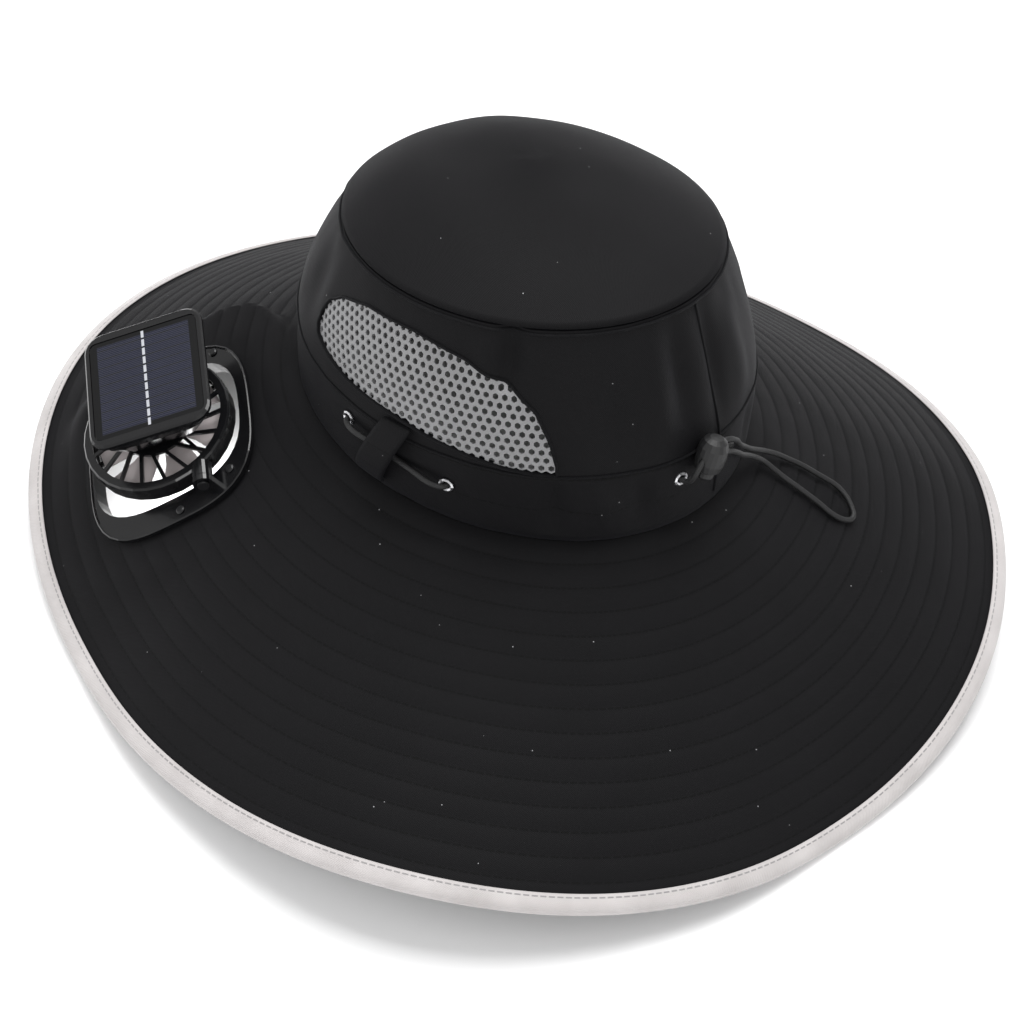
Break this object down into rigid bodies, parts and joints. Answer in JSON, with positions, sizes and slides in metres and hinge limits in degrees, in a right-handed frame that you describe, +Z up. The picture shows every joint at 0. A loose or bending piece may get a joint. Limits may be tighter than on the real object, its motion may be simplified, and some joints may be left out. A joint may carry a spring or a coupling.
{
  "type": "sun_hat_with_solar_fan",
  "caption": "Black wide-brimmed bucket hat with grey mesh windows, light edge tape, a back drawcord, and a tilting solar fan let into its brim",
  "frame": {"origin": "middle of the hat's footprint, on the surface that its brim rests on", "axes": "+Z up, -Y the front of the hat, +X the wearer's left"},
  "size_m": [0.437, 0.4596, 0.2163],
  "materials": {
    "black_cloth": "black woven polyester, stitched in rows on the brim",
    "silver_tape": "silver-grey woven binding tape",
    "grey_mesh": "grey spacer mesh with open cells",
    "black_cord": "black braided elastic cord",
    "eyelet_steel": "pressed metal eyelet",
    "screw_steel": "black oxide screw and pin",
    "lock_plastic": "matte black moulded plastic",
    "gloss_black": "glossy black moulded plastic",
    "blade_plastic": "pale translucent moulded plastic",
    "solar_glass": "dark blue solar cells under clear resin"
  },
  "bodies": {
    "root": {"brim": "black_cloth", "edge_binding": "silver_tape", "crown_band": "black_cloth", "crown_side": "black_cloth", "crown_tip": "black_cloth", "mesh_window_left": "grey_mesh", "mesh_window_right": "grey_mesh", "side_loop_left": "black_cloth", "side_loop_right": "black_cloth", "side_cord_left": "black_cord", "side_cord_right": "black_cord", "drawcord_loop": "black_cord", "drawcord_left": "black_cord", "drawcord_right": "black_cord", "eyelet_left_front": "eyelet_steel", "eyelet_left_back": "eyelet_steel", "eyelet_right_front": "eyelet_steel", "eyelet_right_back": "eyelet_steel", "eyelet_rear_left": "eyelet_steel", "eyelet_rear_right": "eyelet_steel", "cord_lock": "lock_plastic", "fan_flange": "gloss_black", "fan_backing": "lock_plastic", "flange_screw_1": "screw_steel", "flange_screw_2": "screw_steel", "flange_screw_3": "screw_steel", "flange_screw_4": "screw_steel", "hinge_pin": "screw_steel"},
    "fan_head": {"fan_cage": "gloss_black", "fan_pod": "gloss_black", "panel_frame": "gloss_black", "solar_cells": "solar_glass"},
    "impeller": {"impeller": "blade_plastic"},
    "lock_button": {"lock_button": "lock_plastic"}
  },
  "joints": [
    {"name": "fan_tilt", "type": "hinge", "parent": "root", "child": "fan_head", "pos_m": [0.1217, -0.07357, 0.07001], "axis": [-0.6266, -0.7603, 0.1713], "range_deg": [-10, 45]},
    {"name": "impeller_spin", "type": "hinge", "parent": "fan_head", "child": "impeller", "pos_m": [0.1116, -0.11062, 0.06596], "axis": [0.393, -0.1184, 0.9119], "continuous": true},
    {"name": "lock_press", "type": "slide", "parent": "root", "child": "lock_button", "axis": [-0.2419, 0, 0.9703], "range_m": [0, 0.0018], "stiffness_N_per_m": 400, "springref_m": -0.002}
  ]
}
